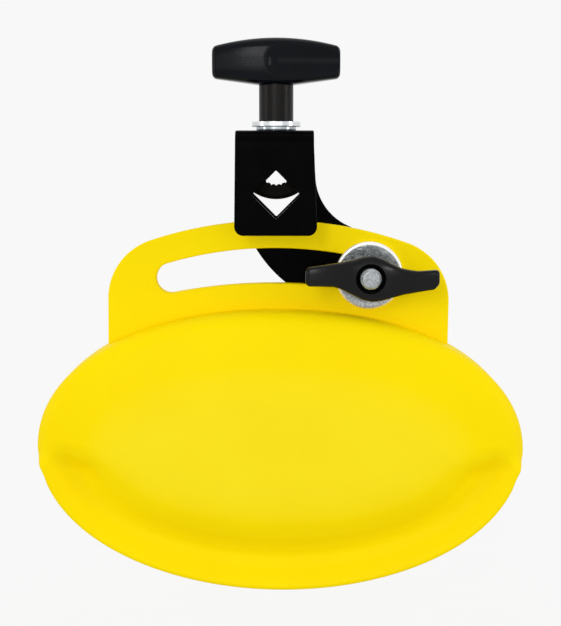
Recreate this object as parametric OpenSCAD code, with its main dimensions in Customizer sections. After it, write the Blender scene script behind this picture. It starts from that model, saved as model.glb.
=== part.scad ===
// Clamp-mounted woodblock: a hollow two-shell oval block with a slotted handle plate,
// held by a wing nut on the arm of a rod clamp. Millimetres, +Z up, the front faces -Y.
// Origin: centre of the rod bore in the eye bolt, with the eye drawn fully up.

/* [Rod clamp] */
// Width of the bent steel strip
clamp_w = 30.2; // [28.4:0.2:33]
// Inside gap between the front leg and the rear leg
clamp_gap = 22; // [21:0.5:26]
// Thickness of the steel strip
strip_t = 3; // [2.5:0.1:3.5]
// Inside radius of the two bends under the crown
bend_r = 2.5; // [1:0.25:4]
// Top of the crown above the rod bore
crown_rise = 13.7; // [13.2:0.1:14.9]
// Foot of the front leg below the rod bore
front_leg_drop = 25.1; // [21.1:0.1:27.1]
// Corner radius at the foot of the front leg
leg_corner_r = 3.4; // [1:0.1:5]
// Largest rod that the clamp takes
rod_d = 12.7; // [11:0.1:13]
// Centre of the diamond holes below the rod bore
diamond_drop = 10; // [9.1:0.1:10.7]

/* [Arm] */
// Bolt to the right of the rod bore
bolt_x = 35.7; // [33:0.1:39]
// Round end of the arm, about the bolt
arm_end_r = 14; // [12.5:0.25:15]
// Outer edge of the arm's curve
arm_outer_r = 50; // [46:0.5:54]
// Inner edge of the arm's curve
arm_inner_r = 21.6; // [16:0.1:24]
// Centre of the inner curve below the rod bore
arm_inner_drop = 2.9; // [1.1:0.1:7.1]

/* [Eye bolt] */
// Width of the eye
eye_w = 25; // [22:0.5:28]
// Thickness of the eye along the rod
eye_t = 8; // [6:0.5:8.5]
// Crown of the eye above its bore
eye_top = 10.3; // [8.9:0.1:10.3]
// Foot of the eye below its bore
eye_foot = 11.9; // [10.6:0.1:13.1]
// Radius of the eye's top and bottom edges
eye_arc_r = 15.5; // [13.5:0.5:20]
// Rounding of the eye's top and bottom edges
eye_edge_r = 1.4; // [0.5:0.1:2.5]
// Number of grip notches in the foot of the bore
notch_n = 9; // [5:1:11]
// Depth of a grip notch
notch_d = 0.5; // [0.4:0.1:1]
// Angle from one notch to the next
notch_step = 16; // [14:1:16]
// Length of the threaded shank above the eye
shank_l = 28; // [24:0.5:31]

/* [Threads and washers] */
// Outside diameter of both threads
thread_d = 8; // [7:0.5:8]
// Outside diameter of the flat washer under the handle
top_washer_d = 18.3; // [16:0.1:22]
// Thickness of the flat washer under the handle
top_washer_t = 1.8; // [1:0.1:2.5]
// Outside diameter of the split washer under it
split_washer_d = 15; // [13:0.1:16]
// Thickness of the split washer
split_washer_t = 1.5; // [1:0.1:2.5]
// Width of the cut in the split washer
split_cut_w = 0.9; // [0.5:0.1:2]
// Outside diameter of the wide washer under the wing nut
wing_washer_d = 26; // [22:0.5:28]
// Thickness of the wide washer
wing_washer_t = 2; // [1.2:0.1:2.5]
// Rounding of the wide washer's rim
wing_washer_edge_r = 0.8; // [0.3:0.1:1]

/* [Tee handle] */
// Diameter of the steel hub
hub_d = 12.9; // [11:0.1:14]
// Length of the hub that shows below the grip
hub_l = 13.6; // [10:0.2:18]
// Diameter of the hub's stem inside the grip
stem_d = 10.4; // [9.4:0.2:11]
// Length of the stem inside the grip
stem_l = 12; // [9:0.5:13]
// Length of the grip, end to end
grip_w = 47.8; // [40:0.2:56]
// Height of the grip in the middle
grip_h = 17.4; // [15:0.2:20]
// How far the top edge falls to the ends
grip_top_fall = 3.2; // [0:0.1:5]
// How far the bottom edge rises to the ends
grip_foot_rise = 2.4; // [0:0.1:4]
// Depth of the grip in the middle
grip_t = 16; // [14.5:0.5:19]
// Depth of the grip at the ends
grip_end_t = 9.6; // [8:0.2:13]
// Rounding of the grip's ends
grip_end_r = 1.6; // [0.5:0.1:3]
// Radius of the finger scoops
scoop_r = 8.5; // [6:0.25:12]
// Depth of the finger scoops
scoop_d = 2.8; // [1:0.1:3.2]
// How far a scoop reaches past the middle
scoop_reach = 3; // [0:0.25:5]

/* [Carriage bolt] */
// Diameter of the mushroom head
head_d = 18.8; // [16:0.2:20]
// Height of the mushroom head
head_h = 4.2; // [3:0.1:5]
// Side of the square neck
neck_w = 8.4; // [8:0.1:10]
// Reach of the thread in front of the handle plate
stud_reach = 15.2; // [14:0.1:16]
// Chamfer at the tip of the thread
stud_chamfer = 0.7; // [0.2:0.1:1.2]

/* [Wing nut] */
// Diameter of the nut's hub
nut_d = 15.6; // [13:0.2:17]
// Height of the nut
nut_h = 11.4; // [9:0.2:12]
// Rounding of the hub's front edge
nut_edge_r = 1.2; // [0.4:0.1:2]
// Span of the wings, tip to tip
wing_span = 49.8; // [44:0.2:52]
// Straight edge of a wing at its tip, above the centre line
wing_high = 4.5; // [3:0.1:6]
// Hollow edge of a wing, below the centre line
wing_low = 3; // [1.5:0.1:4]
// Radius of the hollow between a wing and the hub
wing_fillet_r = 15; // [8:0.5:18]
// Height above the washer at which the wings leave the hub
wing_lift = 4.2; // [3:0.1:5]
// Degrees by which the back of the wings sweeps forwards, clear of the block when they turn
wing_sweep = 36; // [35:0.5:40]
// Thickness of the wings at their tips, front to back
wing_tip_t = 4.6; // [3:0.1:6]
// Diameter of the dish round the thread
dish_d = 11.4; // [10:0.2:12]
// Depth of the dish
dish_h = 1.6; // [0.6:0.1:2.5]

/* [Handle plate] */
// Middle of the plate to the right of the rod bore
plate_x = 0.9; // [0:0.1:3]
// Half the width of the plate
plate_half_w = 65.9; // [60:0.1:72]
// Thickness of the plate
plate_t = 5; // [4:0.2:5.6]
// Top of the plate below the rod bore
plate_drop = 20.7; // [19.7:0.1:22.1]
// Radius of the plate's top edge
plate_top_r = 154; // [140:1:180]
// Radius of the plate's corners
plate_corner_r = 23.6; // [16:0.2:26]
// Upper edge of the slot below the plate's top edge, in the middle
slot_top_drop = 10.6; // [9.9:0.1:11.4]
// Radius of the slot's upper edge
slot_top_r = 148; // [140:1:160]
// Lower edge of the slot below its upper edge, in the middle
slot_foot_drop = 13.6; // [12.8:0.1:14.4]
// Radius of the slot's lower edge past the radius of its upper edge
slot_foot_r = 52; // [37:1:72]
// How far the radius of the slot's two round ends is below half of its height
slot_end_r = 0.98; // [0.8:0.01:1.1]

/* [Block] */
// Degrees by which the block hangs down to the right, turned about the bolt
block_tilt = 0.6; // [0:0.1:2]
// Middle of the oval to the right of the rod bore
block_x = 2.2; // [0:0.1:3]
// Upper rim of the oval below the slot's lower edge, in the middle
oval_drop = 9.9; // [8:0.1:14]
// Half the width of the oval
oval_a = 93.5; // [88:0.1:100]
// Half the width of the oval across the lips of the mouth
lip_a = 91.8; // [86:0.1:100]
// Half the height of the oval
oval_b = 53.7; // [50:0.1:54]
// Fullness of the oval, 2 for a plain ellipse
oval_power = 2.13; // [1.95:0.01:2.2]
// Fullness of the oval across the lips
lip_power = 2; // [1.9:0.01:2.2]
// Depth of the front shell from the seam
front_depth = 20; // [17:0.5:24]
// Depth of the back shell from the seam
back_depth = 21; // [19:0.5:25]
// Wall of both shells
wall = 3.4; // [2.4:0.1:4]
// Ends of the mouth, in degrees below the middle of the oval
mouth_end_angle = 3; // [2:0.5:8]
// Degrees over which the mouth opens to its full height
mouth_open_angle = 11; // [8:1:20]
// Degrees over which the lip rises out of the rim
lip_start_angle = 4.5; // [4:0.5:10]
// Degrees over which the valley behind the lip sinks into the face
valley_start_angle = 17; // [14:0.5:22]
// Depth of the crease along each end of the lip
crease_depth = 0.5; // [0:0.1:1.4]
// Steps round the closed upper half of the oval
top_steps = 28; // [24:2:32]
// Steps across each end of the mouth
end_steps = 8; // [8:1:10]
// Steps along the mouth between its ends
mouth_steps = 24; // [20:2:28]

/* [Hidden] */

// Running clearance of a thread or pin in its hole, on the radius
run_gap = 0.05;
// Clearance of a loose hole round a thread, on the radius
loose_gap = 0.4;
// Clearance between faces that turn or slide on each other
face_gap = 0.05;
// Clearance of the sleeve in the slot, on each side
slide_gap = 0.1;
// Step from the front of the handle plate forwards to the seam of the shells
seam_step = 0.1;
// Overrun of every cut past the face that it opens
over = 1;
// Facets of the round surfaces
round_fn = 36;
fine_fn = 16;
// Steps along each arc of the slot
arc_steps = 18;

// Levels of the clamp, front to back and upwards
front_y = -clamp_gap / 2 - strip_t;
arm_front_y = clamp_gap / 2;
arm_back_y = arm_front_y + strip_t;
crown_under = crown_rise - strip_t;
half_w = clamp_w / 2;
outer_bend_r = bend_r + strip_t;
bore_r = rod_d / 2 + run_gap;
diamond_side = rod_d + run_gap;

// Levels of the handle plate
plate_back_y = arm_front_y - slide_gap;
plate_front_y = plate_back_y - plate_t;
seam_y = plate_front_y - seam_step;
plate_top = -plate_drop;

// The slot lies between two arcs. Its round ends touch both of them, and the middle of the
// sleeve runs on a third arc through the middles of the ends and the middle of the slot.
slot_top_z = -plate_drop - slot_top_drop;
slot_foot_z = slot_top_z - slot_foot_drop;
slot_foot_full_r = slot_top_r + slot_foot_r;
slot_end_full_r = slot_foot_drop / 2 - slot_end_r;
oval_z = slot_foot_z - oval_drop - oval_b;
slot_top_centre = slot_top_z - slot_top_r;
slot_foot_centre = slot_foot_z - slot_foot_full_r;
end_top_r = slot_top_r - slot_end_full_r;
end_foot_r = slot_foot_full_r + slot_end_full_r;
slot_end_z = (pow(end_foot_r, 2) - pow(slot_foot_centre, 2) - pow(end_top_r, 2)
    + pow(slot_top_centre, 2)) / 2 / (slot_top_centre - slot_foot_centre);
slot_end_x = sqrt(pow(end_top_r, 2) - pow(slot_end_z - slot_top_centre, 2));
slot_mid_z = (slot_top_z + slot_foot_z) / 2;
slot_sag = slot_mid_z - slot_end_z;
slot_r = (pow(slot_end_x, 2) + pow(slot_sag, 2)) / 2 / slot_sag;
slot_centre_z = slot_mid_z - slot_r;
bolt_z = slot_centre_z + sqrt(pow(slot_r, 2) - pow(bolt_x - plate_x, 2));

// Curves of the arm: the outer edge is tangent to the leg and to the round end
arm_outer_x = arm_outer_r - half_w;
arm_outer_z = bolt_z + sqrt(pow(arm_outer_r - arm_end_r, 2) - pow(bolt_x - arm_outer_x, 2));
arm_inner_x = half_w + arm_inner_r;
arm_inner_z = -arm_inner_drop;

// Levels of the washers, the hub and the grip
split_z = crown_rise;
top_washer_z = split_z + split_washer_t;
hub_z = top_washer_z + top_washer_t + face_gap;
grip_z = hub_z + hub_l;
stem_top_z = grip_z + stem_l;
eye_shank_top = eye_top + shank_l;
thread_r = thread_d / 2;
loose_r = thread_r + loose_gap;

// Levels of the wing nut, measured forwards from the handle plate
washer_back_y = plate_front_y - face_gap;
nut_back_y = washer_back_y - wing_washer_t - face_gap;
nut_front_y = nut_back_y - nut_h;
stud_tip_y = plate_front_y - stud_reach;
nut_r = nut_d / 2;

function ease(t) = let (c = min(1, max(0, t))) c * c * (3 - 2 * c);
function mix(a, b, t) = a + (b - a) * t;
function polar(r, a) = [r * cos(a), r * sin(a)];
function signed_power(v, p) = sign(v) * pow(abs(v), p);

// Face of a shell on the closed part of its rim: inset from the rim as a share of the
// oval's half height, and height above the seam as a share of the shell's depth.
closed_shares = [[0.86, 1], [0.68, 0.985], [0.53, 0.955], [0.4, 0.915], [0.3, 0.87],
    [0.225, 0.83], [0.155, 0.79], [0.1, 0.745], [0.06, 0.695], [0.028, 0.62],
    [0.007, 0.52], [0, 0.4], [0, 0]];
// The same places where the mouth is open, with a valley behind the flared lip
front_lip_shares = [[0.86, 1], [0.68, 0.98], [0.53, 0.925], [0.4, 0.78], [0.3, 0.6],
    [0.225, 0.52], [0.155, 0.58], [0.1, 0.68], [0.06, 0.75], [0.028, 0.785],
    [0.007, 0.765], [0, 0.71], [0.006, 0.62]];
back_lip_shares = [[0.86, 1], [0.68, 0.98], [0.53, 0.925], [0.4, 0.78], [0.3, 0.6],
    [0.225, 0.51], [0.155, 0.53], [0.1, 0.59], [0.06, 0.63], [0.028, 0.65],
    [0.007, 0.635], [0, 0.58], [0.006, 0.49]];
// Lean of the lip's ends: they start higher further in from the rim
lip_lean = 8;
// Share of the inset at which the lip's ends reach that lean
lean_inset_share = 0.2;
// Further in than this share the valley's end fades out into the face, over more degrees
fade_inset_share = 0.225;
fade_angle = 60;
// The crease lies past the lip's start by this angle. It is wider above than below, and
// fades towards the rim and towards the face over these shares of the inset.
crease_angle = 1.5;
crease_upper_angle = 7;
crease_lower_angle = 2.4;
crease_rim_share = 0.03;
crease_face_shares = [0.06, 0.2];
// Width of the oval: it starts to draw in above the mouth's ends, over these degrees
narrow_start_angle = -1;
narrow_span = 13;
// Row that ends the face; the rows past it are the rim, which opens more slowly
rim_row = 10;
last_row = len(closed_shares) - 1;
// Inner edge of the open rim, as a share of the height of its outer edge
rim_bevel_share = 0.86;

// Angles round the oval, closer together across the two ends of the mouth
end_rise = 9;
end_span = 24;
top_span = 180 - 2 * end_rise;
mouth_span = 180 - 2 * (end_span - end_rise);
left_start = end_rise + top_span;
right_start = left_start + end_span + mouth_span;
oval_angles = [
    for (i = [0:top_steps - 1]) end_rise + i * top_span / top_steps,
    for (i = [0:end_steps - 1]) left_start + i * end_span / end_steps,
    for (i = [0:mouth_steps - 1]) left_start + end_span + i * mouth_span / mouth_steps,
    for (i = [0:end_steps - 1]) right_start + i * end_span / end_steps];
oval_steps = len(oval_angles);

function below(t) = asin(-sin(t));
function lean(inset) = min(1, inset / lean_inset_share);
// Degrees past the start of the lip
function past_start(t, inset) = below(t) - mouth_end_angle + lip_lean * sqrt(lean(inset));
function lip_mix(t, inset) =
    ease(past_start(t, inset)
        / (mix(lip_start_angle, valley_start_angle, lean(inset))
            + fade_angle * max(0, inset - fade_inset_share)));
function crease(t, inset) =
    let (off = past_start(t, inset) - crease_angle,
        width = off < 0 ? crease_upper_angle : crease_lower_angle)
    crease_depth * ease(inset / crease_rim_share)
        * (1 - ease((inset - crease_face_shares[0]) / (crease_face_shares[1] - crease_face_shares[0])))
        * exp(-pow(off / width, 2));
function mouth_mix(t) = ease((below(t) - mouth_end_angle) / mouth_open_angle);
function row_mix(t, row) = row > rim_row ? mouth_mix(t) : lip_mix(t, closed_shares[row][0]);

// Point drawn in from the oval's edge, which is a little narrower across the lips
function oval_point(t, inset) =
    let (m = ease((below(t) - narrow_start_angle) / narrow_span),
        power = 2 / mix(oval_power, lip_power, m))
    [(mix(oval_a, lip_a, m) - inset) * signed_power(cos(t), power),
        (oval_b - inset) * signed_power(sin(t), power)];

// Outer point of a shell: place on the oval and height above the seam
function outer_point(t, row, lip, depth) =
    let (s = mix(closed_shares[row], lip[row], row_mix(t, row)),
        p = oval_point(t, s[0] * oval_b))
    [p[0], p[1], s[1] * depth - crease(t, closed_shares[row][0])];
// Inner point: drawn in by the wall, and lower by the wall except at the rim
function inner_point(t, row, lip, depth) =
    let (s = mix(closed_shares[row], lip[row], row_mix(t, row)),
        p = oval_point(t, wall + s[0] * (oval_b - wall)))
    [p[0], p[1], row == last_row
        ? s[1] * depth * rim_bevel_share
        : s[1] * depth - crease(t, closed_shares[row][0]) - wall];

// Rings of a shell, from the middle of the outer face round the rim to the middle of the
// inner face; the side is 1 for a shell that rises from the seam and -1 for one that sinks
function shell_points(lip, depth, side) = [
    for (row = [0:last_row], t = oval_angles)
        let (p = outer_point(t, row, lip, depth)) [p[0], p[1], side * p[2]],
    for (row = [last_row:-1:0], t = oval_angles)
        let (p = inner_point(t, row, lip, depth)) [p[0], p[1], side * p[2]]];

// Faces of a closed skin over rings of points: an end, the bands between rings, and an end
function turned(face, side) = side < 0 ? face : [for (i = [len(face) - 1:-1:0]) face[i]];
function ring_faces(rings, steps, side) = [
    turned([for (i = [0:steps - 1]) i], side),
    for (k = [0:rings - 2], i = [0:steps - 1])
        let (j = (i + 1) % steps, a = k * steps, b = a + steps)
        each [turned([a + i, b + i, b + j], side), turned([a + i, b + j, a + j], side)],
    turned([for (i = [steps - 1:-1:0]) (rings - 1) * steps + i], side)];

module shell_solid(lip, depth, side) {
    faces = ring_faces(2 * (last_row + 1), oval_steps, side);
    translate([block_x, seam_y, oval_z])
        rotate([90, 0, 0])
            polyhedron(shell_points(lip, depth, side), faces, convexity = 8);
}

// Stand a flat outline up: its y runs up Z, and it fills the depth t in front of y_back
module upright(y_back, t) {
    translate([0, y_back, 0])
        rotate([90, 0, 0])
            linear_extrude(t)
                children();
}

// Rod along Y
module along_y(r, y_back, l, fn = round_fn) {
    translate([0, y_back, 0])
        rotate([90, 0, 0])
            cylinder(r = r, h = l, $fn = fn);
}

// Hang the block on the bolt, at its tilt
module hung() {
    translate([bolt_x, 0, bolt_z])
        rotate([0, block_tilt, 0])
            translate([-bolt_x, 0, -bolt_z])
                children();
}

module front_shell() {
    color("yellow")
        hung()
            shell_solid(front_lip_shares, front_depth, 1);
}

module back_shell() {
    color("yellow")
        hung() {
            shell_solid(back_lip_shares, back_depth, -1);
            handle_plate();
        }
}

// Tangent arcs: a wide top arc runs into two corner arcs and straight sides
plate_corner_x = plate_half_w - plate_corner_r;
plate_centre_z = plate_top - plate_top_r;
plate_corner_z = plate_centre_z
    + sqrt(pow(plate_top_r - plate_corner_r, 2) - pow(plate_corner_x, 2));
plate_far_z = plate_top + over;
plate_far_x = plate_corner_x * (plate_far_z - plate_centre_z) / (plate_corner_z - plate_centre_z);
plate_foot_z = oval_z;

module plate_outline() {
    intersection() {
        translate([0, plate_centre_z])
            circle(r = plate_top_r, $fn = 4 * round_fn);
        polygon([[0, plate_foot_z], [plate_corner_x, plate_corner_z],
            [plate_far_x, plate_far_z], [-plate_far_x, plate_far_z],
            [-plate_corner_x, plate_corner_z]]);
    }
    for (side = [-1, 1])
        translate([side * plate_corner_x, plate_corner_z])
            circle(r = plate_corner_r, $fn = round_fn);
    translate([-plate_half_w, plate_foot_z])
        square([2 * plate_half_w, plate_corner_z - plate_foot_z]);
}

// Right half of the slot's edge: along its upper arc, round its end and back along its lower arc
slot_top_angle = atan2(slot_end_z - slot_top_centre, slot_end_x);
slot_foot_angle = atan2(slot_end_z - slot_foot_centre, slot_end_x);
slot_half = [
    for (i = [0:arc_steps - 1])
        [0, slot_top_centre] + polar(slot_top_r, mix(90, slot_top_angle, i / arc_steps)),
    for (i = [0:arc_steps])
        [slot_end_x, slot_end_z]
            + polar(slot_end_full_r, mix(slot_top_angle, slot_foot_angle - 180, i / arc_steps)),
    for (i = [1:arc_steps])
        [0, slot_foot_centre] + polar(slot_foot_full_r, mix(slot_foot_angle, 90, i / arc_steps))];

module slot_outline() {
    polygon([each slot_half,
        for (i = [len(slot_half) - 2:-1:1]) [-slot_half[i][0], slot_half[i][1]]]);
}

module handle_plate() {
    upright(plate_back_y, plate_t)
        difference() {
            translate([plate_x, 0])
                plate_outline();
            translate([plate_x, 0])
                slot_outline();
            translate([block_x, oval_z])
                polygon([for (t = oval_angles) oval_point(t, wall / 2)]);
        }
}

// Touching point, on the first of two circles, of the straight line that passes between them
function cross_tangent(c1, r1, c2, r2) =
    let (v = c2 - c1)
    c1 + polar(r1, atan2(v[1], v[0]) - acos((r1 + r2) / norm(v)));

module arm_outline() {
    inner = [arm_inner_x, arm_inner_z];
    outer = [arm_outer_x, arm_outer_z];
    bolt = [bolt_x, bolt_z];
    leave = (bolt - outer) / norm(bolt - outer);
    difference() {
        union() {
            translate([-half_w, min(arm_inner_z, arm_outer_z)])
                square([clamp_w, crown_under - min(arm_inner_z, arm_outer_z)]);
            intersection() {
                translate(outer)
                    circle(r = arm_outer_r, $fn = 2 * round_fn);
                polygon([[-half_w - over, max(arm_inner_z, arm_outer_z)],
                    [arm_inner_x, max(arm_inner_z, arm_outer_z)],
                    cross_tangent(inner, arm_inner_r, bolt, arm_end_r),
                    cross_tangent(bolt, arm_end_r, inner, arm_inner_r),
                    bolt, bolt + (arm_end_r + over) * leave,
                    [-half_w - over, outer[1] - arm_outer_r - over]]);
            }
            translate(bolt)
                circle(r = arm_end_r, $fn = round_fn);
        }
        translate(inner)
            circle(r = arm_inner_r, $fn = round_fn);
    }
}

module front_leg_outline() {
    foot = -front_leg_drop + leg_corner_r;
    translate([-half_w, foot])
        square([clamp_w, crown_under - foot]);
    translate([-half_w + leg_corner_r, -front_leg_drop])
        square([clamp_w - 2 * leg_corner_r, leg_corner_r + over]);
    for (side = [-1, 1])
        translate([side * (half_w - leg_corner_r), foot])
            circle(r = leg_corner_r, $fn = round_fn);
}

// Section across the crown, drawn with its x along Y and its y up Z
module crown_section() {
    inside = clamp_gap / 2 - bend_r;
    foot = crown_under - bend_r;
    difference() {
        union() {
            translate([front_y, foot])
                square([clamp_gap + 2 * strip_t, outer_bend_r - strip_t]);
            translate([-inside, foot])
                square([2 * inside, outer_bend_r]);
            for (side = [-1, 1])
                translate([side * inside, foot])
                    circle(r = outer_bend_r, $fn = round_fn);
        }
        translate([-inside, foot - outer_bend_r])
            square([2 * inside, outer_bend_r + bend_r]);
        translate([-clamp_gap / 2, foot - outer_bend_r])
            square([clamp_gap, outer_bend_r]);
        for (side = [-1, 1])
            translate([side * inside, foot])
                circle(r = bend_r, $fn = round_fn);
        translate([front_y - over, foot - outer_bend_r - over])
            square([clamp_gap + 2 * (strip_t + over), outer_bend_r + over]);
    }
}

module diamond_cut() {
    translate([0, -diamond_drop])
        rotate(45)
            square(diamond_side, center = true);
}

module clamp_bracket() {
    color("dimgray")
        difference() {
            union() {
                translate([-half_w, 0, 0])
                    rotate([90, 0, 90])
                        linear_extrude(clamp_w)
                            crown_section();
                intersection() {
                    upright(front_y + strip_t, strip_t)
                        front_leg_outline();
                    leg_keep();
                }
                intersection() {
                    upright(arm_back_y, strip_t)
                        arm_outline();
                    leg_keep();
                }
            }
            upright(arm_back_y + over, clamp_gap + 2 * (strip_t + over))
                diamond_cut();
            translate([0, 0, crown_under - over])
                cylinder(r = loose_r, h = strip_t + 2 * over, $fn = round_fn);
            translate([bolt_x, arm_front_y + strip_t / 2, bolt_z])
                cube([neck_w + 2 * run_gap, strip_t + 2 * over, neck_w + 2 * run_gap], center = true);
        }
}

// Everything below the bends
module leg_keep() {
    reach = 2 * (bolt_x + arm_outer_r);
    translate([-reach / 2, front_y - over, crown_under - bend_r - reach])
        cube([reach, clamp_gap + 2 * (strip_t + over), reach]);
}

// Disc with rounded edges, its axis along Y
module soft_disc(r, t, edge_r) {
    translate([0, t / 2, 0])
        rotate([90, 0, 0])
            rotate_extrude($fn = round_fn) {
                square([r - edge_r, t]);
                translate([0, edge_r])
                    square([r, t - 2 * edge_r]);
                for (level = [edge_r, t - edge_r])
                    translate([r - edge_r, level])
                        circle(r = edge_r, $fn = fine_fn);
            }
}

module notch() {
    side = sqrt(2) * notch_d;
    cube([side, eye_t + 2 * over, side], center = true);
}

module eye_bolt() {
    color("gray")
        difference() {
            union() {
                intersection() {
                    translate([0, 0, eye_arc_r - eye_foot])
                        soft_disc(eye_arc_r, eye_t, eye_edge_r);
                    translate([0, 0, eye_top - eye_arc_r])
                        soft_disc(eye_arc_r, eye_t, eye_edge_r);
                    cube([eye_w, eye_t, 2 * eye_arc_r], center = true);
                }
                translate([0, 0, bore_r + notch_d])
                    cylinder(r = thread_r, h = eye_shank_top - bore_r - notch_d, $fn = round_fn);
            }
            along_y(bore_r, eye_t / 2 + over, eye_t + 2 * over);
            for (i = [0:notch_n - 1])
                rotate([0, (i - (notch_n - 1) / 2) * notch_step, 0])
                    translate([0, 0, -bore_r])
                        rotate([0, 45, 0])
                            notch();
        }
}

module ring(d, t) {
    difference() {
        cylinder(r = d / 2, h = t, $fn = round_fn);
        translate([0, 0, -over])
            cylinder(r = loose_r, h = t + 2 * over, $fn = round_fn);
    }
}

module split_washer() {
    color("silver")
        translate([0, 0, split_z])
            difference() {
                ring(split_washer_d, split_washer_t);
                rotate(60)
                    translate([0, -split_cut_w / 2, -over])
                        cube([split_washer_d, split_cut_w, split_washer_t + 2 * over]);
            }
}

module top_washer() {
    color("silver")
        translate([0, 0, top_washer_z])
            ring(top_washer_d, top_washer_t);
}

module handle_hub() {
    color("darkslategray")
        difference() {
            union() {
                translate([0, 0, hub_z])
                    cylinder(r = hub_d / 2, h = hub_l, $fn = round_fn);
                translate([0, 0, grip_z])
                    cylinder(r = stem_d / 2, h = stem_l, $fn = round_fn);
            }
            translate([0, 0, hub_z - over])
                cylinder(r = thread_r + run_gap, h = hub_l + stem_l, $fn = round_fn);
        }
}

// Grip: a loft along X. Each section is a soft-cornered outline of its own height and depth.
grip_half = grip_w / 2;
grip_rings = 22;
grip_sides = 32;
grip_corner_power = 4.2;
function grip_top(x) = grip_z + grip_h - grip_top_fall * pow(abs(x) / grip_half, 2);
function grip_foot(x) =
    grip_z + grip_foot_rise * max(0, abs(x) - hub_d / 2) / (grip_half - hub_d / 2);
function grip_depth(x) = mix(grip_t, grip_end_t, pow(abs(x) / grip_half, 1.6)) / 2;
function grip_end_draw(x) =
    let (e = max(0, abs(x) - (grip_half - grip_end_r)) / grip_end_r)
    grip_end_r * (1 - sqrt(1 - min(1, e * e)));
function grip_x(i) = let (u = i * 180 / (grip_rings - 1)) -grip_half * cos(u);
function grip_section(x) =
    let (draw = grip_end_draw(x), top = grip_top(x) - draw, foot = grip_foot(x) + draw,
        deep = grip_depth(x) - draw, mid = (top + foot) / 2, high = (top - foot) / 2)
    [for (k = [0:grip_sides - 1]) let (a = (k + 0.5) * 360 / grip_sides)
        [x, deep * signed_power(cos(a), 2 / grip_corner_power),
            mid + high * signed_power(sin(a), 2 / grip_corner_power)]];
grip_points = [for (i = [0:grip_rings - 1]) each grip_section(grip_x(i))];
grip_faces = ring_faces(grip_rings, grip_sides, -1);

// Round-ended trough along X that a finger rests in
module scoop() {
    lean = atan((grip_t - grip_end_t) / 2 / grip_half) / 2;
    translate([scoop_r - scoop_reach - scoop_d, -grip_t / 2 - scoop_r + scoop_d, grip_z + grip_h / 2])
        rotate([0, 90, lean]) {
            cylinder(r = scoop_r, h = grip_half + over, $fn = fine_fn);
            sphere(r = scoop_r, $fn = fine_fn);
        }
}

module handle_grip() {
    color("black")
        difference() {
            polyhedron(grip_points, grip_faces, convexity = 6);
            scoop();
            rotate(180)
                scoop();
            translate([0, 0, grip_z - over])
                cylinder(r = stem_d / 2, h = stem_l + over, $fn = round_fn);
        }
}

module carriage_bolt() {
    cap_r = (pow(head_d / 2, 2) + pow(head_h, 2)) / 2 / head_h;
    color("lightgray")
        translate([bolt_x, 0, bolt_z]) {
            intersection() {
                translate([0, arm_back_y + head_h - cap_r, 0])
                    sphere(r = cap_r, $fn = round_fn);
                along_y(head_d / 2, arm_back_y + head_h, head_h);
            }
            translate([-neck_w / 2, arm_front_y, -neck_w / 2])
                cube([neck_w, strip_t, neck_w]);
            along_y(thread_r, arm_front_y, arm_front_y - stud_tip_y - stud_chamfer);
            translate([0, stud_tip_y + stud_chamfer, 0])
                rotate([90, 0, 0])
                    cylinder(r1 = thread_r, r2 = thread_r - stud_chamfer, h = stud_chamfer,
                        $fn = round_fn);
        }
}

module slot_sleeve() {
    color("dimgray")
        translate([bolt_x, 0, bolt_z])
            difference() {
                along_y(slot_end_full_r - slide_gap, plate_back_y, plate_t - slide_gap);
                along_y(thread_r + run_gap, plate_back_y + over, plate_t + 2 * over);
            }
}

module wing_washer() {
    color("silver")
        translate([bolt_x, washer_back_y - wing_washer_t / 2, bolt_z])
            difference() {
                soft_disc(wing_washer_d / 2, wing_washer_t, wing_washer_edge_r);
                along_y(loose_r, wing_washer_t / 2 + over, wing_washer_t + 2 * over);
            }
}

// One wing: straight along its upper edge, hollow below where it meets the hub
module wing_outline() {
    fillet_z = -wing_low - wing_fillet_r;
    fillet_x = -sqrt(pow(nut_r + wing_fillet_r, 2) - pow(fillet_z, 2));
    touch = nut_r / (nut_r + wing_fillet_r) * [fillet_x, fillet_z];
    reach = wing_span;
    slope = atan2(nut_r - wing_high, wing_span / 2);
    intersection() {
        circle(r = wing_span / 2, $fn = 2 * round_fn);
        difference() {
            polygon([[0, 0], nut_r * [-sin(slope), cos(slope)], [-reach, nut_r - reach * tan(slope)],
                [-reach, -wing_low], [fillet_x, -wing_low], touch]);
            translate([fillet_x, fillet_z])
                circle(r = wing_fillet_r, $fn = round_fn);
        }
    }
}

// Section of both wings from above, drawn with its y along Y
module wing_sweep_outline() {
    root_y = nut_back_y - wing_lift;
    tip_y = root_y - (wing_span / 2 - nut_r) * tan(wing_sweep);
    for (side = [-1, 1])
        polygon([[0, root_y], [side * nut_r, root_y], [side * wing_span / 2, tip_y],
            [side * wing_span / 2, tip_y - wing_tip_t], [side * nut_r, nut_front_y + nut_edge_r],
            [0, nut_front_y + nut_edge_r]]);
}

module wing_nut() {
    color("black")
        translate([bolt_x, 0, bolt_z])
            difference() {
                union() {
                    translate([0, nut_back_y - nut_h / 2, 0])
                        soft_disc(nut_r, nut_h, nut_edge_r);
                    intersection() {
                        upright(nut_back_y, wing_span)
                            for (turn = [0, 180])
                                rotate(turn)
                                    wing_outline();
                        translate([0, 0, -nut_r])
                            linear_extrude(nut_d)
                                wing_sweep_outline();
                    }
                }
                along_y(thread_r + run_gap, nut_back_y + over, nut_h + 2 * over);
                translate([0, nut_front_y + dish_h, 0])
                    rotate([90, 0, 0])
                        cylinder(r1 = thread_r + run_gap, r2 = dish_d / 2, h = dish_h, $fn = round_fn);
            }
}

front_shell();
back_shell();
clamp_bracket();
eye_bolt();
split_washer();
top_washer();
handle_hub();
handle_grip();
carriage_bolt();
slot_sleeve();
wing_washer();
wing_nut();
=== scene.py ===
import math

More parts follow.
